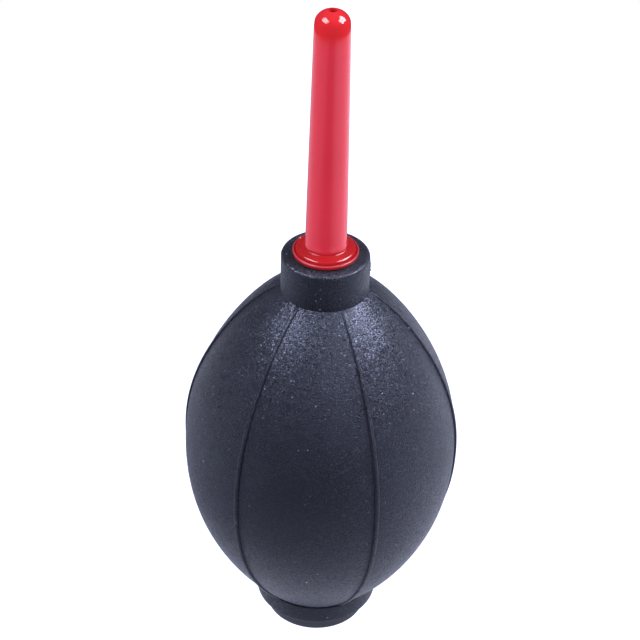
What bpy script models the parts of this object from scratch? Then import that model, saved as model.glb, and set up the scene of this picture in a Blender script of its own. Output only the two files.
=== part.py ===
"""Dust blower bulb for watch repair.

A hollow moulded rubber bulb with six thin meridian ribs stands on a foot ring.
A tapered nozzle is pushed into the neck collar, and a one-way inlet valve
(plug, seat, loose disc, snap-in cage) closes the foot.

Frame: metres, +Z up along the bulb's axis, origin at the centre of the
underside. The first rib lies in the +X half plane.
"""

import bpy
import bmesh
from math import pi, sin, cos, radians, hypot

for old in list(bpy.data.objects):
    bpy.data.objects.remove(old, do_unlink=True)

MM = 0.001

# ---- driving dimensions, millimetres ---------------------------------------
GAP = 0.3              # running gap between touching pieces

# rubber bulb
BULB_R = 27.0          # largest outer radius
BULB_Z = 43.31         # height of the largest radius
WALL = 2.4             # rubber wall, measured square to the surface
FOOT_R = 12.45         # outer radius of the foot ring
FOOT_Z0 = 4.0          # underside of the foot ring
FOOT_Z1 = 8.08         # top of the foot ring, where the bulb wall starts
LOW_R = 12.25          # wall radius at the foot ring
LOW_POWER = 2.217      # fullness of the lower half
NECK_R = 8.42          # wall radius at the neck collar
NECK_Z0 = 80.3         # bottom of the neck collar
UP_DROP = 16.96        # radius lost over UP_SPAN above the largest radius
UP_SPAN = 36.91
UP_POWER = 2.076       # fullness of the upper half
UP_LATE = 1.5          # radius lost only close to the collar, a flatter shoulder
UP_LATE_POWER = 14
COLLAR_TOP_R = 8.36
COLLAR_TOP_Z = 88.0
COLLAR_ROUND = 0.55
NECK_BORE_R = 4.5
SOCKET_R = 7.3         # bore in the foot ring that takes the plug
SOCKET_BEAD_R = 6.8    # retaining bead inside that bore

# meridian ribs
RIBS = 6
RIB_W = 1.0
RIB_H = 0.35
RIB_TOP_SHARE = 0.55   # width of the crest as a share of the base
RIB_FADE = 2.2         # length over which a rib runs out at either end
PANEL_COLUMNS = 4      # columns between two ribs

# nozzle
NOZ_FLANGE_Z = 88.3
NOZ_FLANGE_R = 6.24
NOZ_R0 = 3.94          # tube radius at NOZ_Z0
NOZ_Z0 = 90.0
NOZ_R1 = 3.28          # tube radius at NOZ_Z1
NOZ_Z1 = 134.0
NOZ_TOP = 138.0
NOZ_TIP_R = 3.24       # the tip is half an ellipsoid of this radius
NOZ_TIP_H = 2.4        # and this height
EXIT_R = 0.75
BORE_R0 = 2.5
BORE_R1 = 2.0
SPIGOT_R = 3.75
BARB_R = 4.2
SPIGOT_Z0 = 79.5
NOZ_SIDES = 32

# inlet valve
PLUG_R = 10.4
PLUG_H = 3.7
PLUG_RECESS_R = 7.5
PLUG_RECESS_Z = 1.5
PLUG_SPIGOT_R = 7.0
PLUG_TOP = 9.5
GROOVE_R = 6.4
PORT_R = 2.0
CHAMBER_R = 5.6
CHAMBER_Z = 4.2
SEAT_Z = 4.6
SNAP_R = 5.9
PLUG_SIDES = 40
DISC_R = 4.6
DISC_Z0 = 4.9
DISC_H = 0.8
CAGE_Z0 = 7.2
CAGE_H = 2.0
CAGE_R = 5.3
CAGE_BEAD_R = 5.6
CAGE_RING_R = 4.1      # inner radius of the cage's rim
CAGE_HUB_R = 1.2
SPOKES = 3
SPOKE_W = 1.2


# ---- materials ---------------------------------------------------------------
def material(name, colour, roughness, metallic=0.0):
    m = bpy.data.materials.new(name)
    m.use_nodes = True
    p = m.node_tree.nodes["Principled BSDF"]
    p.inputs["Base Color"].default_value = (*colour, 1)
    p.inputs["Roughness"].default_value = roughness
    p.inputs["Metallic"].default_value = metallic
    return m


RUBBER = material("black_rubber", (0.030, 0.034, 0.045), 0.48)
RED = material("red_plastic", (0.62, 0.012, 0.020), 0.16)
BLACK = material("black_plastic", (0.022, 0.023, 0.027), 0.42)
SILICONE = material("valve_silicone", (0.45, 0.44, 0.42), 0.55)
WHITE = material("cage_plastic", (0.60, 0.60, 0.58), 0.40)


# ---- builders ----------------------------------------------------------------
def finish(name, bm, mat, crease=35):
    """Turn a bmesh in millimetres into a named, smooth-shaded object in metres."""
    bmesh.ops.scale(bm, vec=(MM, MM, MM), verts=bm.verts)
    bmesh.ops.recalc_face_normals(bm, faces=bm.faces)
    mesh = bpy.data.meshes.new(name)
    bm.to_mesh(mesh)
    bm.free()
    mesh.materials.append(mat)
    mesh.shade_smooth()
    mesh.set_sharp_from_angle(angle=radians(crease))
    ob = bpy.data.objects.new(name, mesh)
    bpy.context.scene.collection.objects.link(ob)
    return ob


def skin(bm, rings, cyclic):
    """Quads between neighbouring rings of one length, each ring closed."""
    pairs = list(zip(rings, rings[1:]))
    if cyclic:
        pairs.append((rings[-1], rings[0]))
    for low, high in pairs:
        n = len(low)
        for i in range(n):
            k = (i + 1) % n
            bm.faces.new((low[i], low[k], high[k], high[i]))


def lathe(profile, sides, start=0.0):
    """Revolve (r, z) points. A point with r = 0 becomes a pole."""
    bm = bmesh.new()
    rings, poles = [], {}
    for r, z in profile:
        if r == 0:
            poles[len(rings)] = bm.verts.new((0, 0, z))
            continue
        rings.append([
            bm.verts.new((r * cos(start + 2 * pi * i / sides),
                          r * sin(start + 2 * pi * i / sides), z))
            for i in range(sides)
        ])
    skin(bm, rings, cyclic=not poles)
    for where, pole in poles.items():
        ring = rings[0] if where == 0 else rings[-1]
        for i in range(sides):
            bm.faces.new((ring[i], ring[(i + 1) % sides], pole))
    return bm


def arc(cr, cz, radius, a0, a1, steps):
    """Points of an arc in the (r, z) plane, angles in degrees from +r."""
    return [
        (cr + radius * cos(radians(a0 + (a1 - a0) * i / steps)),
         cz + radius * sin(radians(a0 + (a1 - a0) * i / steps)))
        for i in range(steps + 1)
    ]


# ---- the rubber bulb ------------------------------------------------------------
def wall_r(z):
    """Outer radius of the bulb wall between foot ring and neck collar."""
    if z >= BULB_Z:
        t = (z - BULB_Z) / UP_SPAN
        return BULB_R - UP_DROP * t ** UP_POWER - UP_LATE * t ** UP_LATE_POWER
    t = (BULB_Z - z) / (BULB_Z - FOOT_Z1)
    return BULB_R - (BULB_R - LOW_R) * t ** LOW_POWER


def wall_in(z, depth):
    """The point depth below the outer wall, square to it."""
    e = 0.01
    lo, hi = max(z - e, FOOT_Z1), min(z + e, NECK_Z0)
    dr, dz = wall_r(hi) - wall_r(lo), hi - lo
    n = hypot(dr, dz)
    return wall_r(z) - depth * dz / n, z + depth * dr / n


def wall_levels(count):
    """Heights along the wall, closer together where it curves most."""
    out = []
    for i in range(count + 1):
        t = i / count
        t += 0.045 * sin(2 * pi * t)
        out.append(FOOT_Z1 + (NECK_Z0 - FOOT_Z1) * t)
    out[0], out[-1] = FOOT_Z1, NECK_Z0
    return out


def rib_height(z):
    """Ribs run the whole wall and fade out at the foot ring and the collar."""
    end = min(z - FOOT_Z1, NECK_Z0 - z) / RIB_FADE
    return RIB_H * max(0.0, min(1.0, end))


def ribbed_ring(bm, r, z, h):
    """One ring whose columns keep each rib the same width at any radius."""
    verts = []
    base = RIB_W / 2 / r
    crest = base * RIB_TOP_SHARE
    sector = 2 * pi / RIBS
    for s in range(RIBS):
        middle = s * sector
        marks = [(-base, 0), (-crest, h), (crest, h), (base, 0)]
        for k in range(PANEL_COLUMNS):
            part = (k + 1) / (PANEL_COLUMNS + 1)
            marks.append((base + (sector - 2 * base) * part, 0))
        for a, up in marks:
            verts.append(bm.verts.new((
                (r + up) * cos(middle + a), (r + up) * sin(middle + a), z)))
    return verts


def bulb_profile():
    """Closed loop of (r, z, rib height): up the outside, down the inside."""
    p = [(SOCKET_R, FOOT_Z0, 0), (FOOT_R - 0.45, FOOT_Z0, 0),
         (FOOT_R - 0.1, FOOT_Z0 + 0.35, 0), (FOOT_R, FOOT_Z0 + 1.4, 0),
         (FOOT_R - 0.02, FOOT_Z1 - 0.7, 0)]
    p += [(wall_r(z), z, rib_height(z)) for z in wall_levels(24)]
    top_in = COLLAR_TOP_R - COLLAR_ROUND
    p += [(NECK_R - 0.05, NECK_Z0 + 0.6, 0)]
    p += [(r, z, 0) for r, z in arc(
        top_in, COLLAR_TOP_Z - COLLAR_ROUND, COLLAR_ROUND, 0, 90, 3)]
    p += [(NECK_BORE_R + 0.4, COLLAR_TOP_Z, 0),
          (NECK_BORE_R, COLLAR_TOP_Z - 0.4, 0),
          (NECK_BORE_R, NECK_Z0 - 0.4, 0),
          (NECK_BORE_R + 0.4, NECK_Z0 - 0.8, 0)]
    inner = [wall_in(z, WALL) for z in wall_levels(16)]
    p += [(r, z, 0) for r, z in reversed(inner)]
    p += [(SOCKET_R + 0.5, inner[0][1], 0), (SOCKET_R, inner[0][1] - 0.5, 0),
          (SOCKET_R, 7.3, 0), (SOCKET_BEAD_R, 6.85, 0),
          (SOCKET_BEAD_R, 6.15, 0), (SOCKET_R, 5.7, 0)]
    return p


bm = bmesh.new()
skin(bm, [ribbed_ring(bm, r, z, h) for r, z, h in bulb_profile()], cyclic=True)
finish("bulb_body", bm, RUBBER, crease=40)


# ---- the nozzle --------------------------------------------------------------------
def tube_r(z):
    return NOZ_R0 + (NOZ_R1 - NOZ_R0) * (z - NOZ_Z0) / (NOZ_Z1 - NOZ_Z0)


def nozzle_profile():
    f = NOZ_FLANGE_Z
    p = [(BORE_R0, SPIGOT_Z0), (SPIGOT_R - 0.35, SPIGOT_Z0)]
    for k in range(3):                       # three sawtooth barbs
        z = SPIGOT_Z0 + 0.9 + 2.3 * k
        p += [(BARB_R, z + 0.8), (SPIGOT_R, z + 0.95)]
    p += [(SPIGOT_R, f), (NOZ_FLANGE_R - 0.25, f), (NOZ_FLANGE_R, f + 0.25),
          (NOZ_FLANGE_R, f + 0.6), (NOZ_FLANGE_R - 0.12, f + 0.8),
          (NOZ_FLANGE_R - 0.42, f + 0.9), (NOZ_FLANGE_R - 0.9, f + 1.38),
          (NOZ_FLANGE_R - 1.45, f + 1.75), (NOZ_FLANGE_R - 1.95, f + 1.97)]
    p += [(tube_r(z) + d, z) for z, d in ((90.7, 0.16), (91.2, 0.04), (91.8, 0))]
    p += [(tube_r(z), z) for z in (105.0, 119.5)]
    # rounded tip, from the tube to the edge of the exit hole
    zc = NOZ_TOP - NOZ_TIP_H
    for k in range(7):
        a = radians(76 * k / 6)
        p.append((NOZ_TIP_R * cos(a), zc + NOZ_TIP_H * sin(a)))
    p += [(EXIT_R, zc + NOZ_TIP_H * (1 - (EXIT_R / NOZ_TIP_R) ** 2) ** 0.5)]
    # bore, top to bottom
    p += [(EXIT_R, 135.6), (BORE_R1, 130.5)]
    return p


bm = lathe(nozzle_profile(), NOZ_SIDES)
finish("nozzle", bm, RED, crease=30)


# ---- the inlet valve ---------------------------------------------------------------
plug = [
    (PORT_R, PLUG_RECESS_Z), (PLUG_RECESS_R - 0.3, PLUG_RECESS_Z),
    (PLUG_RECESS_R, PLUG_RECESS_Z - 0.3), (PLUG_RECESS_R, 0.2),
    (PLUG_RECESS_R + 0.2, 0), (PLUG_R - 0.35, 0), (PLUG_R, 0.35),
    (PLUG_R, PLUG_H - 0.3), (PLUG_R - 0.3, PLUG_H),
    (PLUG_SPIGOT_R, PLUG_H), (PLUG_SPIGOT_R, 5.2), (GROOVE_R, 5.5),
    (GROOVE_R, 7.5), (PLUG_SPIGOT_R, 7.8), (PLUG_SPIGOT_R, PLUG_TOP - 0.4),
    (PLUG_SPIGOT_R - 0.4, PLUG_TOP), (CHAMBER_R, PLUG_TOP),
    (CHAMBER_R, 8.75), (SNAP_R, 8.5), (SNAP_R, 7.7), (CHAMBER_R, 7.45),
    (CHAMBER_R, CHAMBER_Z), (PORT_R + 1.3, CHAMBER_Z),
    (PORT_R + 1.1, SEAT_Z), (PORT_R + 0.5, SEAT_Z), (PORT_R, SEAT_Z - 0.4),
]
bm = lathe(plug, PLUG_SIDES)
finish("base_plug", bm, BLACK, crease=30)

disc = [(0, DISC_Z0), (DISC_R - 0.15, DISC_Z0), (DISC_R, DISC_Z0 + 0.15),
        (DISC_R, DISC_Z0 + DISC_H - 0.15), (DISC_R - 0.15, DISC_Z0 + DISC_H),
        (0, DISC_Z0 + DISC_H)]
bm = lathe(disc, 32)
valve_disc = finish("valve_disc", bm, SILICONE, crease=30)

c0, c1 = CAGE_Z0, CAGE_Z0 + CAGE_H
cage = [(0, c0), (CAGE_R - 0.15, c0), (CAGE_R, c0 + 0.15),
        (CAGE_R, c0 + 0.65), (CAGE_BEAD_R, c0 + 0.8), (CAGE_BEAD_R, c0 + 1.0),
        (CAGE_R, c0 + 1.15), (CAGE_R, c1 - 0.3), (CAGE_R - 0.3, c1), (0, c1)]
bm = lathe(cage, 32)
cage_ob = finish("valve_cage", bm, WHITE, crease=30)

# three windows leave the hub, the spokes and the rim
bm = bmesh.new()
half = SPOKE_W / 2
for s in range(SPOKES):
    first = 2 * pi * s / SPOKES
    last = first + 2 * pi / SPOKES
    outline = []
    for radius, turn in ((CAGE_RING_R, 1), (CAGE_HUB_R + 0.35, -1)):
        lean = half / radius
        a0, a1 = first + lean, last - lean
        steps = 8 if turn > 0 else 3
        pts = [a0 + (a1 - a0) * i / steps for i in range(steps + 1)]
        outline += [(radius * cos(a), radius * sin(a)) for a in pts[::turn]]
    low = [bm.verts.new((x, y, c0 - 1)) for x, y in outline]
    high = [bm.verts.new((x, y, c1 + 1)) for x, y in outline]
    bm.faces.new(low[::-1])
    bm.faces.new(high)
    for i in range(len(low)):
        k = (i + 1) % len(low)
        bm.faces.new((low[i], low[k], high[k], high[i]))
windows = finish("cage_windows", bm, WHITE)
windows.hide_render = True
windows.display_type = "WIRE"
cut = cage_ob.modifiers.new("windows", "BOOLEAN")
cut.operation = "DIFFERENCE"
cut.solver = "EXACT"
cut.object = windows
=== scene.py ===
"""Looks of the dust blower bulb: fine rubber bulb, glossy nozzle, foot plug and inlet valve, on a plain studio floor."""
from math import atan2, cos, hypot, pi, radians, sin, sqrt

import bpy
import bmesh
from mathutils import Matrix, Vector


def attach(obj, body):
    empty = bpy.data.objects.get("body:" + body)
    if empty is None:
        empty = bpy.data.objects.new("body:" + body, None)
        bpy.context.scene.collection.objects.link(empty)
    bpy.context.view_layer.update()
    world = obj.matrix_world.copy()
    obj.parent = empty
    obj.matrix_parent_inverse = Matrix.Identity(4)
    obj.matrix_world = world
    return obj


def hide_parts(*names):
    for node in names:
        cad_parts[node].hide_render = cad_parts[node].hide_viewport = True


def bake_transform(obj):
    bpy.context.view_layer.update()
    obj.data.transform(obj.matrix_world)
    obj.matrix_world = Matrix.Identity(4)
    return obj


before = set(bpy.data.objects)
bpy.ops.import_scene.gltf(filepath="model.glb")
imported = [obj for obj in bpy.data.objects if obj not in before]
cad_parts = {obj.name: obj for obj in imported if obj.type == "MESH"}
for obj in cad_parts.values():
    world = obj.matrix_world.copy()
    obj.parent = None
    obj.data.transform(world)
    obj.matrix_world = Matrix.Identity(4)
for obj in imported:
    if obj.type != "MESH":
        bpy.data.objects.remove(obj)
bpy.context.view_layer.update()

MM = 0.001

# ---- shape shared with the solids, millimetres ------------------------------
BULB_R, BULB_Z = 27.0, 43.31
FOOT_Z0, FOOT_Z1, FOOT_R = 3.76, 8.08, 12.45
LOW_R, LOW_POWER = 12.25, 2.217
NECK_R, NECK_Z0 = 8.42, 80.3
UP_DROP, UP_SPAN, UP_POWER = 16.96, 36.91, 2.076
UP_LATE, UP_LATE_POWER = 1.5, 14
COLLAR_TOP_R, COLLAR_TOP_Z = 8.36, 88.0
WALL = 2.4
RIBS = 6

NOZ_BASE_Z, NOZ_TOP = 88.12, 138.0
NOZ_FLANGE_R = 6.24
NOZ_R0, NOZ_R1 = 3.94, 3.28
NOZ_TIP_R, NOZ_TIP_H = 3.20, 2.5
PLUG_R, PLUG_H = 10.4, 3.7


def wall_r(z):
    """Outer radius of the bulb wall between foot ring and neck collar."""
    if z >= BULB_Z:
        t = (z - BULB_Z) / UP_SPAN
        return BULB_R - UP_DROP * t ** UP_POWER - UP_LATE * t ** UP_LATE_POWER
    t = (BULB_Z - z) / (BULB_Z - FOOT_Z1)
    return BULB_R - (BULB_R - LOW_R) * t ** LOW_POWER


def wall_in(z, depth):
    """The point depth below the outer wall, square to it."""
    e = 0.01
    lo, hi = max(z - e, FOOT_Z1), min(z + e, NECK_Z0)
    dr, dz = wall_r(hi) - wall_r(lo), hi - lo
    n = hypot(dr, dz)
    return wall_r(z) - depth * dz / n, z + depth * dr / n


# ---- mesh helpers -------------------------------------------------------------
def rounded(points, closed=True):
    """Corner points (r, z, radius, steps) turned into a path with true arcs at the corners."""
    out, n = [], len(points)
    for i, (x, y, rad, steps) in enumerate(points):
        if rad <= 0 or (not closed and i in (0, n - 1)):
            out.append((x, y))
            continue
        px, py = points[i - 1][:2]
        qx, qy = points[(i + 1) % n][:2]
        a, b = Vector((px - x, py - y)), Vector((qx - x, qy - y))
        la, lb = a.length, b.length
        a, b = a / la, b / lb
        half = a.angle(b) / 2
        cut = min(rad / max(1e-6, abs(sin(half) / cos(half))), la * 0.49, lb * 0.49)
        rad = cut * sin(half) / cos(half)
        centre = Vector((x, y)) + (a + b).normalized() * (rad / sin(half))
        p0, p1 = Vector((x, y)) + a * cut, Vector((x, y)) + b * cut
        a0 = atan2(p0.y - centre.y, p0.x - centre.x)
        a1 = atan2(p1.y - centre.y, p1.x - centre.x)
        turn = (a1 - a0 + pi) % (2 * pi) - pi
        for k in range(steps + 1):
            ang = a0 + turn * k / steps
            out.append((centre.x + rad * cos(ang), centre.y + rad * sin(ang)))
    return out


def spread(path, longest, closed=False):
    """Adds points so that no stretch is longer than that."""
    out = []
    ends = list(zip(path, path[1:] + ([path[0]] if closed else [])))
    for (x0, y0), (x1, y1) in ends:
        n = max(1, int(hypot(x1 - x0, y1 - y0) / longest + 0.999))
        out += [(x0 + (x1 - x0) * k / n, y0 + (y1 - y0) * k / n) for k in range(n)]
    if not closed:
        out.append(path[-1])
    return out


def mesh_object(name, verts, faces, crease):
    mesh = bpy.data.meshes.new(name)
    mesh.from_pydata([Vector(v) * MM for v in verts], [], faces)
    bm = bmesh.new()
    bm.from_mesh(mesh)
    bmesh.ops.recalc_face_normals(bm, faces=bm.faces)
    bm.to_mesh(mesh)
    bm.free()
    mesh.shade_smooth()
    mesh.set_sharp_from_angle(angle=radians(crease))
    ob = bpy.data.objects.new(name, mesh)
    bpy.context.scene.collection.objects.link(ob)
    return ob


def ring_faces(count, sides, closed):
    faces = []
    for i in range(count if closed else count - 1):
        j = (i + 1) % count
        for k in range(sides):
            m = (k + 1) % sides
            faces.append((i * sides + k, i * sides + m, j * sides + m, j * sides + k))
    return faces


def lathe(name, path, sides, crease=40, shift=None):
    """Revolves a closed (r, z) path. shift(azimuth, r, z) may move a point along its radius and its height."""
    verts = []
    for r, z in path:
        for k in range(sides):
            a = 2 * pi * k / sides
            dr, dz = shift(a, r, z) if shift else (0, 0)
            verts.append(((r + dr) * cos(a), (r + dr) * sin(a), z + dz))
    return mesh_object(name, verts, ring_faces(len(path), sides, True), crease)


# ---- rubber bulb ----------------------------------------------------------------
RIB_W, RIB_H = 0.44, 0.42          # half width at the root, height
RIB_MARKS = (-1.9, -1.2, -1.0, -0.97, -0.88, -0.70, -0.38, 0.0, 0.38, 0.70, 0.88, 0.97, 1.0, 1.2, 1.9)
PANEL = 15                          # columns between two ribs


def rib_shape(u):
    """Height of the bead across its width, u from -1 to 1, as a share."""
    return (1 - abs(u) ** 3) ** (1 / 3) if abs(u) < 1 else 0.0


def rib_height(z):
    """The ribs run the whole wall and end in a short rounded ramp."""
    t = min(z - FOOT_Z1, NECK_Z0 - z) / 0.8
    t = max(0.0, min(1.0, t))
    return RIB_H * sqrt(1 - (1 - t) ** 2)


def flash(a, r, z):
    """Mould flash where the parting plane crosses the collar: a thin line, ragged near the top on one side."""
    if z < NECK_Z0 + 0.2 or r < COLLAR_TOP_R - 0.9:
        return 0.0
    off = min(abs(a), abs(a - 2 * pi), abs(a - pi)) * r
    line = 0.05 * max(0.0, 1 - off / 0.3)
    if abs(a - pi) < 1:
        return line
    ragged = 0.0
    for centre, height, size in ((84.2, 0.16, 0.35), (84.95, 0.30, 0.30), (85.7, 0.22, 0.26),
                                 (86.25, 0.34, 0.28), (86.9, 0.14, 0.25)):
        ragged = max(ragged, height * max(0.0, 1 - abs(z - centre) / size))
    return line + ragged * max(0.0, 1 - off / 0.42)


def bulb_mesh():
    levels, n = [], 120
    for i in range(n + 1):
        t = i / n
        t += 0.05 * sin(2 * pi * t)
        levels.append(FOOT_Z1 + (NECK_Z0 - FOOT_Z1) * t)
    levels[0], levels[-1] = FOOT_Z1, NECK_Z0
    # extra rings where a rib starts and ends
    for d in (0.05, 0.15, 0.3, 0.5, 0.8):
        levels += [FOOT_Z1 + d, NECK_Z0 - d]
    levels = sorted(set(round(z, 4) for z in levels))
    foot = rounded([
        (7.3, FOOT_Z0, 0.15, 2), (FOOT_R + 0.02, FOOT_Z0, 0.42, 6),
        (FOOT_R + 0.02, FOOT_Z1 - 0.25, 0.3, 3), (LOW_R, FOOT_Z1, 0, 0)], closed=False)
    foot = spread(foot[:-1], 1.2)
    outer = [(wall_r(z), z) for z in levels]
    collar = rounded([
        (NECK_R, NECK_Z0, 0, 0), (NECK_R - 0.02, NECK_Z0 + 0.25, 0.2, 2),
        (COLLAR_TOP_R + 0.03, COLLAR_TOP_Z, 0.60, 8), (NECK_R - 1.9, COLLAR_TOP_Z - 0.06, 0.6, 3),
        (4.5, COLLAR_TOP_Z - 0.02, 0.3, 3), (4.5, NECK_Z0 - 0.4, 0, 0)], closed=False)
    collar = spread(collar[1:], 0.35)
    inner_levels = [NECK_Z0 - (NECK_Z0 - FOOT_Z1) * i / 50 for i in range(51)]
    inner = [(4.9, NECK_Z0 - 0.8)] + [wall_in(z, WALL) for z in inner_levels]
    floor_z = inner[-1][1]
    socket = rounded([
        (10.4, floor_z, 0, 0), (7.3, floor_z, 0.5, 3), (7.3, 7.25, 0.1, 1), (6.8, 6.85, 0.1, 1),
        (6.8, 6.15, 0.1, 1), (7.3, 5.75, 0.1, 1), (7.3, FOOT_Z0 + 0.6, 0, 0)], closed=False)[1:]
    path = [(r, z, 0) for r, z in foot]
    path += [(r, z, rib_height(z)) for r, z in outer]
    path += [(r, z, 0) for r, z in collar + inner + socket]
    sector, verts = 2 * pi / RIBS, []
    for r, z, h in path:
        for s in range(RIBS):
            for u in RIB_MARKS:
                a = s * sector + u * RIB_W / r
                up = h * rib_shape(u) + flash(a % (2 * pi), r, z)
                verts.append(((r + up) * cos(a), (r + up) * sin(a), z))
            side = RIB_MARKS[-1] * RIB_W / r
            for k in range(PANEL):
                a = s * sector + side + (sector - 2 * side) * (k + 1) / (PANEL + 1)
                verts.append((r * cos(a), r * sin(a), z))
    sides = RIBS * (len(RIB_MARKS) + PANEL)
    return mesh_object("rubber_bulb", verts, ring_faces(len(path), sides, True), 42)


bulb = bulb_mesh()

# ---- nozzle -----------------------------------------------------------------------
def tube_r(z):
    return NOZ_R0 + (NOZ_R1 - NOZ_R0) * (z - 90.0) / 44.0


def nozzle_mesh():
    f, fr = NOZ_BASE_Z, NOZ_FLANGE_R
    spigot = [(2.5, 79.5), (3.4, 79.5)]
    for k in range(3):
        z = 80.4 + 2.3 * k
        spigot += [(4.2, z + 0.8), (3.75, z + 0.95)]
    # a thin rim with a fine groove inside it, a low crown and a small fillet to the tube
    rim = rounded([
        (3.75, f - 0.1, 0, 0), (3.75, f, 0, 0), (fr + 0.01, f, 0.25, 4), (fr, f + 0.80, 0.17, 6),
        (fr - 0.30, f + 0.84, 0.10, 4), (fr - 0.40, f + 0.70, 0.06, 3), (fr - 0.50, f + 0.74, 0, 0)], closed=False)
    crown = rounded([
        (fr - 0.50, f + 0.74, 0, 0), (fr - 0.66, f + 1.30, 0.75, 12), (4.12, f + 1.84, 0.24, 7),
        (tube_r(91.5), f + 2.95, 0, 0)], closed=False)[1:]
    foot = [(tube_r(z), z) for z in (92.0, 93.5, 95.0)]
    flange = rim + crown + foot
    tube = [(tube_r(z), z) for z in [97.0 + 2 * i for i in range(19)] + [134.0]]
    zc = NOZ_TOP - NOZ_TIP_H
    tip = []
    for i in range(26):
        a = radians(9 + 66 * i / 25)
        tip.append((NOZ_TIP_R * cos(a), zc + NOZ_TIP_H * sin(a)))
    tip = [(3.252, 134.9)] + tip
    hole_z = zc + NOZ_TIP_H * sqrt(1 - (0.78 / NOZ_TIP_R) ** 2)
    hole = rounded([tip[-1] + (0, 0), (0.76, hole_z, 0.10, 4), (0.72, 135.6, 0, 0)], closed=False)[1:]
    bore = [(2.0, 130.5), (2.2, 112.0)]
    path = spigot + flange + tube + tip + hole + bore
    return lathe("red_nozzle", path, 128, 48)


nozzle = nozzle_mesh()

# ---- foot plug ----------------------------------------------------------------------
plug_path = rounded([
    (2.0, 1.5, 0.15, 2), (7.5, 1.5, 0.3, 3), (7.5, 0.0, 0.25, 3), (PLUG_R, 0.0, 0.35, 5),
    (PLUG_R + 0.02, PLUG_H, 0.3, 4), (7.0, PLUG_H, 0.1, 1), (7.0, 5.35, 0.1, 1), (6.4, 5.6, 0.1, 1),
    (6.4, 7.4, 0.1, 1), (7.0, 7.65, 0.1, 1), (7.0, 9.5, 0.4, 3), (5.6, 9.5, 0.15, 2),
    (5.6, 8.65, 0.05, 1), (5.9, 8.45, 0.05, 1), (5.9, 7.75, 0.05, 1), (5.6, 7.55, 0.05, 1),
    (5.6, 4.2, 0.1, 1), (3.3, 4.2, 0.1, 1), (3.1, 4.6, 0.1, 2), (2.5, 4.6, 0.1, 2), (2.0, 4.2, 0.1, 1)])
plug = lathe("foot_plug", spread(plug_path, 1.0, closed=True), 112, 40)


# ---- materials -------------------------------------------------------------------------
class Nodes:
    """A short way to write a node tree."""

    def __init__(self, name):
        self.mat = bpy.data.materials.new(name)
        self.mat.use_nodes = True
        self.tree = self.mat.node_tree
        self.bsdf = self.tree.nodes["Principled BSDF"]
        self.where = self.tree.nodes.new("ShaderNodeTexCoord").outputs["Object"]

    def new(self, kind, **values):
        node = self.tree.nodes.new(kind)
        for key, value in values.items():
            setattr(node, key, value)
        return node

    def link(self, a, b):
        self.tree.links.new(a, b)

    def put(self, socket, value):
        if isinstance(value, (int, float, tuple)):
            socket.default_value = value
        else:
            self.link(value, socket)

    def noise(self, scale, detail=3.0, rough=0.5, where=None, distortion=0.0):
        n = self.new("ShaderNodeTexNoise")
        self.link(where or self.where, n.inputs["Vector"])
        n.inputs["Scale"].default_value = scale
        n.inputs["Detail"].default_value = detail
        n.inputs["Roughness"].default_value = rough
        n.inputs["Distortion"].default_value = distortion
        return n.outputs["Fac"]

    def cells(self, scale, feature="F1", where=None, randomness=1.0):
        n = self.new("ShaderNodeTexVoronoi", feature=feature)
        self.link(where or self.where, n.inputs["Vector"])
        n.inputs["Scale"].default_value = scale
        n.inputs["Randomness"].default_value = randomness
        return n

    def math(self, op, a, b=0.0, c=0.0, clamp=False):
        n = self.new("ShaderNodeMath", operation=op, use_clamp=clamp)
        for socket, value in zip(n.inputs, (a, b, c)):
            self.put(socket, value)
        return n.outputs[0]

    def span(self, value, from_lo, from_hi, to_lo=0.0, to_hi=1.0, smooth=False):
        n = self.new("ShaderNodeMapRange", clamp=True)
        if smooth:
            n.interpolation_type = "SMOOTHSTEP"
        self.put(n.inputs["Value"], value)
        for key, v in zip(("From Min", "From Max", "To Min", "To Max"), (from_lo, from_hi, to_lo, to_hi)):
            n.inputs[key].default_value = v
        return n.outputs["Result"]

    def mix(self, fac, a, b):
        n = self.new("ShaderNodeMix", data_type="RGBA")
        self.put(n.inputs[0], fac)
        self.put(n.inputs[6], a if not isinstance(a, tuple) else (*a, 1))
        self.put(n.inputs[7], b if not isinstance(b, tuple) else (*b, 1))
        return n.outputs[2]

    def bump(self, height, distance, strength=1.0, under=None):
        n = self.new("ShaderNodeBump")
        n.inputs["Strength"].default_value = strength
        n.inputs["Distance"].default_value = distance
        self.link(height, n.inputs["Height"])
        if under is not None:
            self.link(under, n.inputs["Normal"])
        return n.outputs["Normal"]

    def warp(self, scale, amount):
        """The object coordinates, pushed about by noise."""
        n = self.new("ShaderNodeTexNoise")
        self.link(self.where, n.inputs["Vector"])
        n.inputs["Scale"].default_value = scale
        n.inputs["Detail"].default_value = 2.0
        mid = self.new("ShaderNodeVectorMath", operation="SUBTRACT")
        self.link(n.outputs["Color"], mid.inputs[0])
        mid.inputs[1].default_value = (0.5, 0.5, 0.5)
        size = self.new("ShaderNodeVectorMath", operation="SCALE")
        self.link(mid.outputs[0], size.inputs[0])
        size.inputs["Scale"].default_value = amount
        add = self.new("ShaderNodeVectorMath", operation="ADD")
        self.link(self.where, add.inputs[0])
        self.link(size.outputs[0], add.inputs[1])
        return add.outputs[0]

    def specks(self, scale, chance, radius, where=None):
        """1 inside small scattered specks, 0 elsewhere."""
        v = self.cells(scale, where=where)
        pick = self.new("ShaderNodeSeparateColor")
        self.link(v.outputs["Color"], pick.inputs[0])
        on = self.math("LESS_THAN", pick.outputs[0], chance)
        size = self.span(pick.outputs[1], 0.0, 1.0, radius * 0.45, radius)
        inside = self.math("LESS_THAN", v.outputs["Distance"], size)
        return self.math("MULTIPLY", on, inside), pick.outputs[2]


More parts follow.
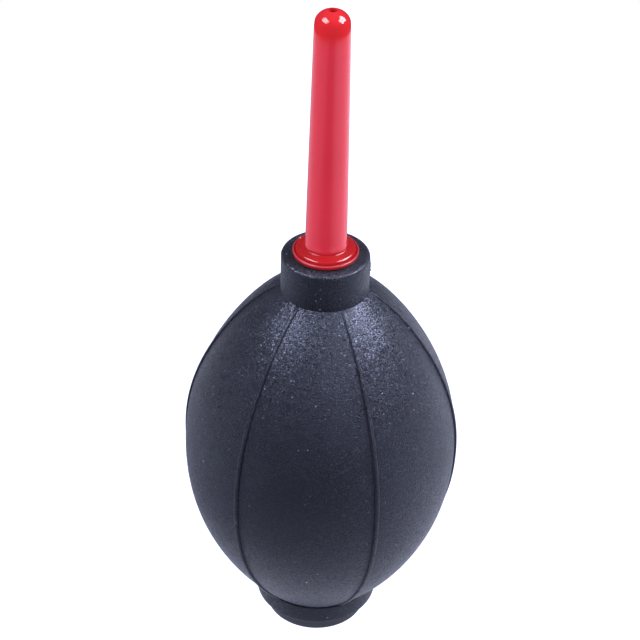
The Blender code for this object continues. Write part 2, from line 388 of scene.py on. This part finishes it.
def rubber_material():
    m = Nodes("moulded_rubber")
    p = m.bsdf.inputs
    # a crisp leather-like grain: flat cells of about 0.3 mm between fine furrows, some glossier than others
    warped = m.warp(1400.0, 0.00022)
    edge = m.cells(3500.0, feature="DISTANCE_TO_EDGE", where=warped)
    cell = m.cells(3500.0, where=warped)
    shade = m.new("ShaderNodeSeparateColor")
    m.link(cell.outputs["Color"], shade.inputs[0])
    grain = m.span(edge.outputs["Distance"], 0.0, 0.13, 0.0, 1.0)
    wrinkle = m.noise(2900.0, 2.0, 0.5, where=warped, distortion=0.3)
    # each cell leans its own way a little
    inside = m.new("ShaderNodeVectorMath", operation="SUBTRACT")
    m.link(warped, inside.inputs[0])
    m.link(cell.outputs["Position"], inside.inputs[1])
    lean = m.new("ShaderNodeVectorMath", operation="SUBTRACT")
    m.link(cell.outputs["Color"], lean.inputs[0])
    lean.inputs[1].default_value = (0.5, 0.5, 0.5)
    tilt = m.new("ShaderNodeVectorMath", operation="DOT_PRODUCT")
    m.link(inside.outputs[0], tilt.inputs[0])
    m.link(lean.outputs[0], tilt.inputs[1])
    height = m.math("ADD", m.math("ADD", grain, m.math("MULTIPLY", wrinkle, 0.9)),
                    m.math("MULTIPLY", tilt.outputs["Value"], 10500.0))
    normal = m.bump(m.noise(240.0, 2.0, 0.5), 0.00004, 0.05)
    normal = m.bump(height, 0.000026, 1.0, normal)
    m.link(normal, p["Normal"])

    blotch = m.noise(70.0, 4.0, 0.55)
    tone = m.mix(m.span(blotch, 0.3, 0.7), (0.0040, 0.0042, 0.0066), (0.0056, 0.0059, 0.0090))
    # painted shade: the fine furrows between the grain cells are coloured darker
    tone = m.mix(m.math("MULTIPLY", m.span(grain, 0.0, 1.0, 1.0, 0.0), 0.6), tone, (0.0022, 0.0024, 0.0040))
    # bloom: a thin grey film that rubber gets, in soft patches
    film = m.span(m.noise(38.0, 4.0, 0.6), 0.45, 0.75, 0.0, 0.28, smooth=True)
    tone = m.mix(film, tone, (0.018, 0.019, 0.027))
    # dust: big specks, fine specks and short fibres
    crowd = m.span(m.noise(55.0, 2.0), 0.40, 0.62, 0.45, 1.0)
    big, tint = m.specks(380.0, 0.30, 0.062)
    small, tint2 = m.specks(1100.0, 0.17, 0.120)
    stretch = m.new("ShaderNodeMapping")
    stretch.inputs["Scale"].default_value = (1.0, 1.0, 0.22)
    stretch.inputs["Rotation"].default_value = (0.5, 0.7, 0.2)
    m.link(m.where, stretch.inputs["Vector"])
    lint, _ = m.specks(800.0, 0.05, 0.07, where=stretch.outputs[0])
    dust = m.math("MAXIMUM", m.math("MULTIPLY", big, m.span(tint, 0.0, 1.0, 0.45, 1.0)),
                  m.math("MULTIPLY", small, m.span(tint2, 0.0, 1.0, 0.12, 0.70)))
    dust = m.math("MAXIMUM", dust, m.math("MULTIPLY", lint, 0.35))
    dust = m.math("MULTIPLY", dust, crowd)
    m.link(m.mix(dust, tone, (0.88, 0.89, 0.92)), p["Base Color"])
    rough = m.math("ADD", m.span(m.noise(90.0, 4.0, 0.6), 0.3, 0.7, 0.0, 0.05), m.span(shade.outputs[0], 0.0, 1.0, 0.23, 0.36))
    rough = m.math("ADD", rough, m.span(grain, 0.0, 1.0, 0.10, 0.0))
    m.link(m.math("ADD", rough, m.math("MULTIPLY", dust, 0.3)), p["Roughness"])
    p["Specular IOR Level"].default_value = 0.48
    p["Specular Tint"].default_value = (0.69, 0.73, 1.0, 1.0)
    p["Sheen Weight"].default_value = 0.26
    p["Sheen Roughness"].default_value = 0.25
    p["Sheen Tint"].default_value = (0.70, 0.72, 1.0, 1.0)
    return m.mat


def nozzle_material():
    m = Nodes("red_gloss_plastic")
    p = m.bsdf.inputs
    cloud = m.noise(60.0, 3.0, 0.5)
    tone = m.mix(m.span(cloud, 0.3, 0.7), (0.625, 0.0205, 0.0420), (0.680, 0.0245, 0.0480))
    # painted reflection: the tube is coloured pinker than the tip, standing in for the bright floor its sides
    # reflect; the tip keeps a deeper red
    place = m.new("ShaderNodeSeparateXYZ")
    m.link(m.where, place.inputs[0])
    painted_pink_stop = m.span(place.outputs["Z"], 0.1315, 0.1345, 0.0, 1.0, smooth=True)
    tone = m.mix(painted_pink_stop, tone, (0.640, 0.0185, 0.0250))
    # painted shade: the flange below the tube is coloured darker, standing in for shade from the tube and the dark
    # collar beneath it
    flange_painted_shade = m.span(place.outputs["Z"], 0.0901, 0.0906, 1.0, 0.0, smooth=True)
    tone = m.mix(flange_painted_shade, tone, (0.430, 0.0105, 0.0135))
    # painted highlight: the moulded rim is coloured paler, standing in for its grazing reflection of the bright
    # floor; the groove inside the rim gets painted shadow
    out = m.math("SQRT", m.math("ADD", m.math("MULTIPLY", place.outputs["X"], place.outputs["X"]),
                                m.math("MULTIPLY", place.outputs["Y"], place.outputs["Y"])))
    rim = m.math("MULTIPLY", m.span(out, 0.00600, 0.00616, 0.0, 1.0), m.span(place.outputs["Z"], 0.08862, 0.08885, 0.0, 1.0))
    tone = m.mix(m.math("MULTIPLY", rim, 0.24), tone, (0.800, 0.220, 0.290))
    groove = m.math("MULTIPLY", m.span(out, 0.00566, 0.00574, 0.0, 1.0), m.span(out, 0.00588, 0.00596, 1.0, 0.0))
    tone = m.mix(m.math("MULTIPLY", m.math("MULTIPLY", groove, flange_painted_shade), 0.30), tone, (0.120, 0.0040, 0.0060))
    # fine dust and a few scuffs
    speck, _ = m.specks(700.0, 0.06, 0.06)
    m.link(m.mix(m.math("MULTIPLY", speck, 0.35), tone, (0.85, 0.45, 0.45)), p["Base Color"])
    stretch = m.new("ShaderNodeMapping")
    stretch.inputs["Scale"].default_value = (1.0, 1.0, 0.10)
    m.link(m.where, stretch.inputs["Vector"])
    scuff = m.span(m.noise(900.0, 3.0, 0.6, where=stretch.outputs[0]), 0.55, 0.75)
    rough = m.math("ADD", m.span(m.noise(120.0, 3.0), 0.3, 0.7, 0.06, 0.11), m.math("MULTIPLY", scuff, 0.05))
    m.link(rough, p["Roughness"])
    peel = m.noise(420.0, 2.0, 0.5)
    normal = m.bump(peel, 0.000020, 0.35)
    normal = m.bump(scuff, 0.0000015, 0.5, normal)
    m.link(normal, p["Normal"])
    p["Subsurface Weight"].default_value = 0.10
    p["Subsurface Radius"].default_value = (1.0, 0.10, 0.06)
    p["Subsurface Scale"].default_value = 0.0012
    p["IOR"].default_value = 1.56
    p["Specular IOR Level"].default_value = 0.28
    return m.mat


def plug_material():
    m = Nodes("black_satin_plastic")
    p = m.bsdf.inputs
    cloud = m.noise(80.0, 3.0, 0.5)
    tone = m.mix(m.span(cloud, 0.3, 0.7), (0.0210, 0.0230, 0.0330), (0.0290, 0.0315, 0.0440))
    speck, _ = m.specks(600.0, 0.10, 0.07)
    # the standing edge is worn paler
    place = m.new("ShaderNodeSeparateXYZ")
    m.link(m.where, place.inputs[0])
    low = m.span(place.outputs["Z"], 0.0001, 0.0007, 1.0, 0.0)
    wear = m.math("MULTIPLY", low, m.span(m.noise(500.0, 4.0, 0.65), 0.45, 0.68))
    tone = m.mix(m.math("MULTIPLY", wear, 0.7), tone, (0.060, 0.062, 0.068))
    m.link(m.mix(m.math("MULTIPLY", speck, 0.5), tone, (0.40, 0.42, 0.46)), p["Base Color"])
    m.link(m.math("ADD", m.span(m.noise(150.0, 3.0), 0.3, 0.7, 0.34, 0.44), m.math("MULTIPLY", wear, 0.2)), p["Roughness"])
    spark = m.noise(2600.0, 2.0, 0.5)
    m.link(m.bump(spark, 0.000018, 0.6), p["Normal"])
    return m.mat


def silicone_material():
    m = Nodes("valve_silicone")
    p = m.bsdf.inputs
    tone = m.mix(m.span(m.noise(300.0, 3.0), 0.3, 0.7), (0.50, 0.48, 0.44), (0.60, 0.58, 0.54))
    m.link(tone, p["Base Color"])
    m.link(m.span(m.noise(500.0, 3.0), 0.3, 0.7, 0.38, 0.52), p["Roughness"])
    m.link(m.bump(m.noise(900.0, 2.0), 0.00002, 0.4), p["Normal"])
    p["Subsurface Weight"].default_value = 0.3
    p["Subsurface Scale"].default_value = 0.001
    return m.mat


def cage_material():
    m = Nodes("natural_nylon")
    p = m.bsdf.inputs
    tone = m.mix(m.span(m.noise(250.0, 3.0), 0.3, 0.7), (0.62, 0.60, 0.54), (0.70, 0.68, 0.62))
    m.link(tone, p["Base Color"])
    m.link(m.span(m.noise(700.0, 3.0), 0.3, 0.7, 0.34, 0.46), p["Roughness"])
    m.link(m.bump(m.noise(2200.0, 2.0), 0.00002, 0.5), p["Normal"])
    return m.mat


bulb.data.materials.append(rubber_material())
nozzle.data.materials.append(nozzle_material())
plug.data.materials.append(plug_material())
for node, mat in (("valve_disc", silicone_material()), ("valve_cage", cage_material())):
    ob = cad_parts[node]
    ob.data.materials.clear()
    ob.data.materials.append(mat)
    for s in ob.material_slots:
        s.material = mat

# ---- pieces onto bodies ---------------------------------------------------------------
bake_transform(bulb)
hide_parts("bulb_body")
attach(nozzle, "nozzle")
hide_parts("nozzle")
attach(plug, "base")
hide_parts("base_plug")

# ---- floor ---------------------------------------------------------------------------------
FLOOR_R = 0.290
floor_mesh = bpy.data.meshes.new("floor")
rim = [(FLOOR_R * cos(2 * pi * i / 96), FLOOR_R * sin(2 * pi * i / 96), -0.00005) for i in range(96)]
floor_mesh.from_pydata(rim, [], [tuple(range(96))])
floor = bpy.data.objects.new("floor", floor_mesh)
bpy.context.scene.collection.objects.link(floor)
fm = Nodes("floor_painted_glow")
fm.link(fm.mix(fm.noise(6.0, 2.0), (0.10, 0.105, 0.12), (0.11, 0.115, 0.13)), fm.bsdf.inputs["Base Color"])
fm.bsdf.inputs["Roughness"].default_value = 0.9
fm.bsdf.inputs["Specular IOR Level"].default_value = 0.0
# painted glow: the floor glows though it is no lamp, evenly bright to the camera; to other rays the glow is
# uneven, painted light for the parts to catch and reflect
fm.bsdf.inputs["Emission Color"].default_value = (0.79, 0.83, 1.0, 1)
seen = fm.new("ShaderNodeLightPath").outputs["Is Camera Ray"]
across = fm.new("ShaderNodeVectorMath", operation="DOT_PRODUCT")
fm.link(fm.where, across.inputs[0])
across.inputs[1].default_value = (cos(radians(5.57)), sin(radians(5.57)), 0)
# painted glow: brightest to the right, brighter again to the far left, dimmest in the middle
side = fm.math("ADD", fm.span(across.outputs["Value"], 0.020, 0.165, 0.26, 1.75, smooth=True),
               fm.span(across.outputs["Value"], -0.165, -0.045, 0.75, 0.0, smooth=True))
far = fm.new("ShaderNodeVectorMath", operation="LENGTH")
near = fm.new("ShaderNodeVectorMath", operation="SUBTRACT")
fm.link(fm.where, near.inputs[0])
near.inputs[1].default_value = (0.022, -0.012, 0)
fm.link(near.outputs[0], far.inputs[0])
# painted pool of light on the floor round the foot, which the bulb's bottom and foot reflect
side = fm.math("ADD", side, fm.span(far.outputs["Value"], 0.038, 0.080, 0.50, 0.0, smooth=True))
fm.link(fm.math("MAXIMUM", side, fm.math("MULTIPLY", seen, 1.5)), fm.bsdf.inputs["Emission Strength"])
floor_mesh.materials.append(fm.mat)

# ---- camera ----------------------------------------------------------------------------------
TURN = radians(5.57)               # the camera stands this far round from -Y
ELEV = radians(35.70)
DIST, FOCAL, ROLL = 0.3556, 104.15, radians(1.65)
AIM_X, AIM_Z = -0.000706, 0.07247
forward = Vector((0, cos(ELEV), -sin(ELEV)))
right, up = Vector((1, 0, 0)), Vector((0, sin(ELEV), cos(ELEV)))
right_r = right * cos(ROLL) + up * sin(ROLL)
up_r = up * cos(ROLL) - right * sin(ROLL)
spot = Vector((AIM_X, -DIST * cos(ELEV), AIM_Z + DIST * sin(ELEV)))
axes = Matrix((right_r, up_r, -forward)).transposed().to_4x4()
cam_data = bpy.data.cameras.new("camera")
cam = bpy.data.objects.new("camera", cam_data)
bpy.context.scene.collection.objects.link(cam)
cam.matrix_world = Matrix.Rotation(TURN, 4, "Z") @ Matrix.Translation(spot) @ axes
cam_data.lens, cam_data.sensor_width, cam_data.sensor_fit = FOCAL, 36.0, "AUTO"
cam_data.clip_start, cam_data.clip_end = 0.01, 50
bpy.context.scene.camera = cam


# ---- light -------------------------------------------------------------------------------------
def softbox(name, azimuth, elevation, distance, width, height, watts, gloss, colour):
    """A soft light of two matched panels, one for dull light and one for gloss.

    Azimuth is measured from the camera's side, positive to its right.
    """
    a, e = radians(azimuth), radians(elevation)
    way = Vector((sin(a) * cos(e), -cos(a) * cos(e), sin(e)))
    way = Matrix.Rotation(TURN, 3, "Z") @ way
    for part, share in (("dull", 1.0), ("gloss", gloss)):
        data = bpy.data.lights.new(name + "_" + part, "AREA")
        data.shape, data.size, data.size_y = "RECTANGLE", width, height
        data.energy, data.color = watts * share, colour
        ob = bpy.data.objects.new(name + "_" + part, data)
        bpy.context.scene.collection.objects.link(ob)
        ob.location = Vector((0, 0, 0.07)) + way * (distance if part == "dull" else distance * 0.95)
        ob.rotation_mode = "QUATERNION"
        ob.rotation_quaternion = way.to_track_quat("Z", "Y")
        ob.visible_camera = False
        ob.visible_glossy = part == "gloss"
        ob.visible_diffuse = part == "dull"


softbox("softbox_left", -73, 52, 0.75, 0.50, 0.32, 3.7, 2.8, (0.86, 0.89, 1.0))
softbox("softbox_right", 94, 46, 0.75, 0.52, 0.38, 4.9, 3.6, (0.86, 0.89, 1.0))

# a white sweep to the camera, an even fill to dull surfaces, a dark room to glossy ones
world = bpy.data.worlds.new("studio")
bpy.context.scene.world = world
world.cycles.sampling_method = "NONE"
world.use_nodes = True
wt = world.node_tree
wt.nodes.clear()
coord = wt.nodes.new("ShaderNodeTexCoord")
sep = wt.nodes.new("ShaderNodeSeparateXYZ")
wt.links.new(coord.outputs["Generated"], sep.inputs[0])
ramp = wt.nodes.new("ShaderNodeValToRGB")
wt.links.new(sep.outputs["Z"], ramp.inputs[0])
el = ramp.color_ramp.elements
el[0].position, el[0].color = 0.0, (0.050, 0.052, 0.064, 1)
el[1].position, el[1].color = 1.0, (0.38, 0.40, 0.47, 1)
mid = el.new(0.45)
mid.color = (0.085, 0.090, 0.110, 1)
room = wt.nodes.new("ShaderNodeBackground")
wt.links.new(ramp.outputs[0], room.inputs[0])
ramp_fill = wt.nodes.new("ShaderNodeValToRGB")
wt.links.new(sep.outputs["Z"], ramp_fill.inputs[0])
el = ramp_fill.color_ramp.elements
el[0].position, el[0].color = 0.15, (0.88, 0.92, 1.0, 1)
el[1].position, el[1].color = 0.85, (0.26, 0.275, 0.31, 1)
fill = wt.nodes.new("ShaderNodeBackground")
wt.links.new(ramp_fill.outputs[0], fill.inputs[0])
fill.inputs[1].default_value = 1.15
plain = wt.nodes.new("ShaderNodeBackground")
plain.inputs[0].default_value = (1.0, 1.0, 1.0, 1)
path_node = wt.nodes.new("ShaderNodeLightPath")
dull = wt.nodes.new("ShaderNodeMixShader")
wt.links.new(path_node.outputs["Is Glossy Ray"], dull.inputs[0])
wt.links.new(fill.outputs[0], dull.inputs[1])
wt.links.new(room.outputs[0], dull.inputs[2])
both = wt.nodes.new("ShaderNodeMixShader")
wt.links.new(path_node.outputs["Is Camera Ray"], both.inputs[0])
wt.links.new(dull.outputs[0], both.inputs[1])
wt.links.new(plain.outputs[0], both.inputs[2])
out = wt.nodes.new("ShaderNodeOutputWorld")
wt.links.new(both.outputs[0], out.inputs["Surface"])

bpy.context.scene.view_settings.view_transform = "Standard"
